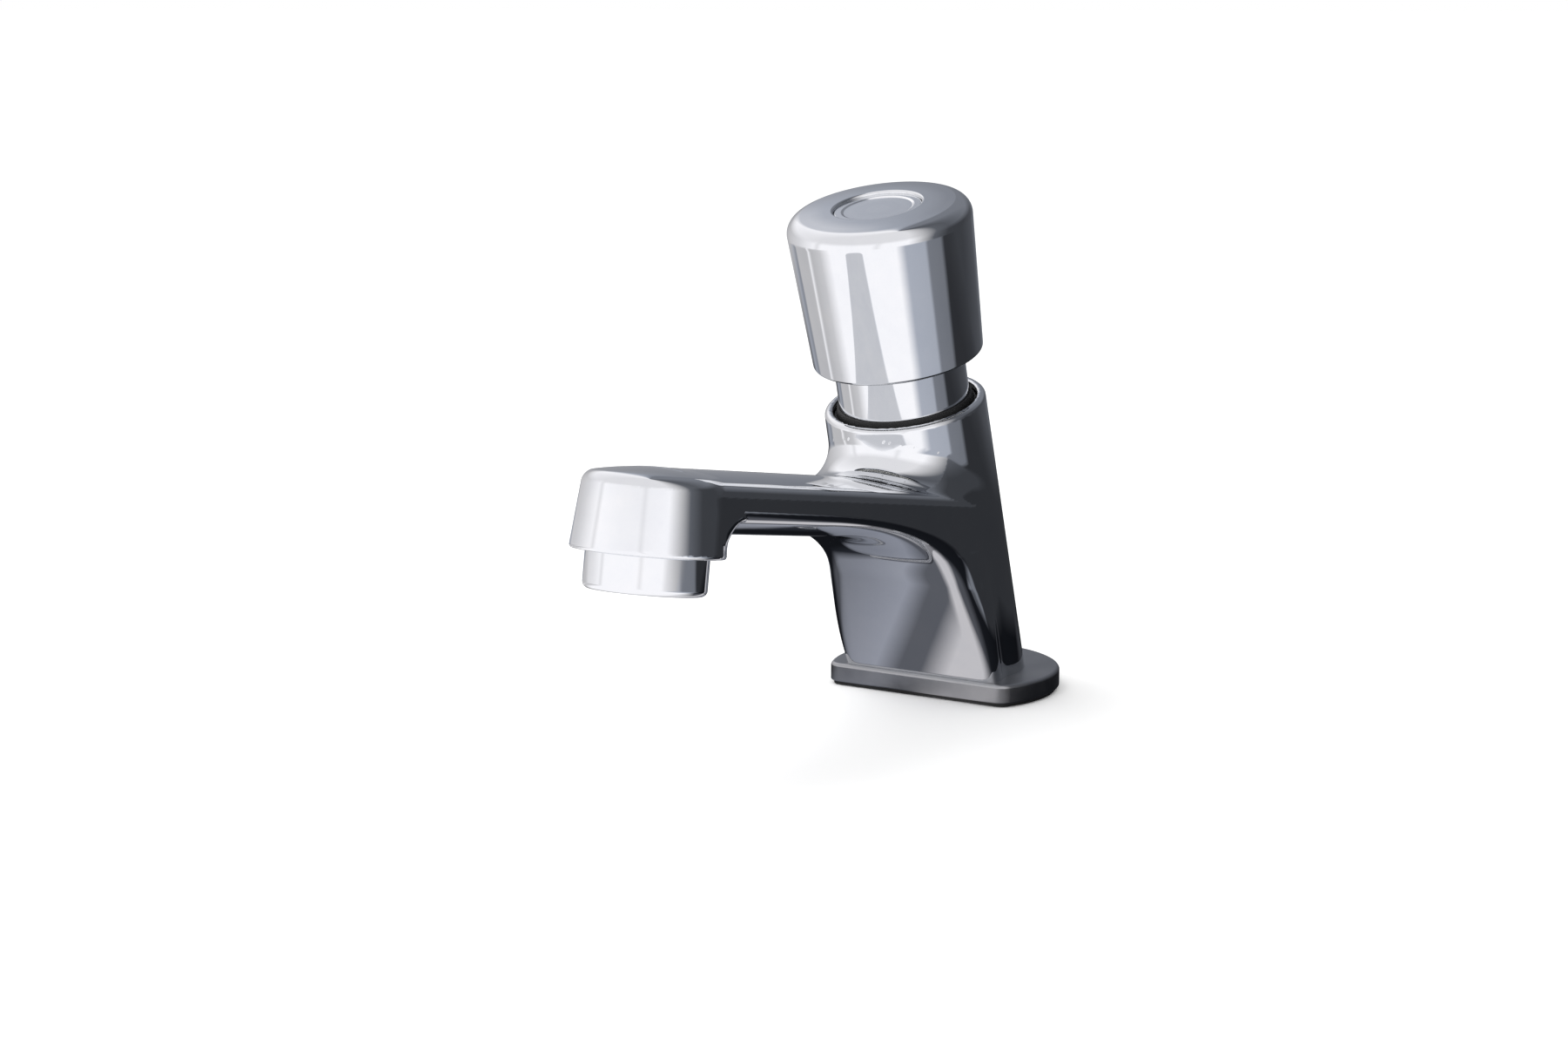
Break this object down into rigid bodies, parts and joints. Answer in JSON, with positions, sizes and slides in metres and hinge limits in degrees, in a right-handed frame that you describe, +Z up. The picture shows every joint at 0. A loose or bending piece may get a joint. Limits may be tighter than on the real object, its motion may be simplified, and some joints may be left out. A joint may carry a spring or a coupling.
{
  "type": "push timed tap",
  "caption": "Chromed self-closing basin tap: a leaning column with a push button, a flat spout with an aerator, a D-shaped base plate and a threaded shank.",
  "frame": {"origin": "centre of the threaded shank at the deck surface, on the underside of the base gasket", "axes": "+Z up out of the deck, -Y along the spout towards the user, +X to the right seen from the front"},
  "size_m": [0.057, 0.171, 0.174],
  "materials": {
    "chrome_casting": "polished chrome plate on cast brass",
    "chrome_turned": "polished chrome plate on turned brass",
    "satin_plate": "satin nickel plate, dulled by water",
    "brass": "bare machined brass",
    "stainless": "plain stainless steel",
    "black_rubber": "black nitrile rubber",
    "white_acetal": "natural white acetal",
    "fibre": "red fibre sealing washer"
  },
  "bodies": {
    "tap": {"tap_body": "chrome_casting", "base_plate": "satin_plate", "base_gasket": "black_rubber", "inlet_shank": "brass", "shank_seal": "fibre", "inlet_strainer": "stainless", "deck_rubber_washer": "black_rubber", "deck_steel_washer": "stainless", "backnut": "brass", "valve_seat": "brass", "seat_o_ring": "black_rubber", "cartridge_sleeve": "brass", "sleeve_o_ring": "black_rubber", "stem_guide": "white_acetal", "guide_o_ring": "black_rubber", "return_spring": "stainless", "bonnet": "chrome_turned", "dust_ring": "black_rubber", "stem_bush": "white_acetal", "stem_wiper": "black_rubber", "aerator_shell": "chrome_turned", "aerator_washer": "black_rubber", "aerator_core": "white_acetal", "aerator_screen": "stainless"},
    "push_button": {"push_cap": "chrome_turned", "cap_disc": "chrome_turned", "cap_screw": "stainless", "cap_guide_ring": "white_acetal", "push_stem": "brass", "piston": "white_acetal", "piston_seal": "black_rubber", "metering_screw": "brass", "valve_disc": "brass", "valve_washer": "black_rubber", "valve_nut": "brass"}
  },
  "joints": [
    {"name": "cap_push", "type": "slide", "parent": "tap", "child": "push_button", "axis": [0, 0.2656, -0.9641], "range_m": [0, 0.008], "stiffness_N_per_m": 900, "springref_m": -0.012, "deforming": ["return_spring"]}
  ]
}
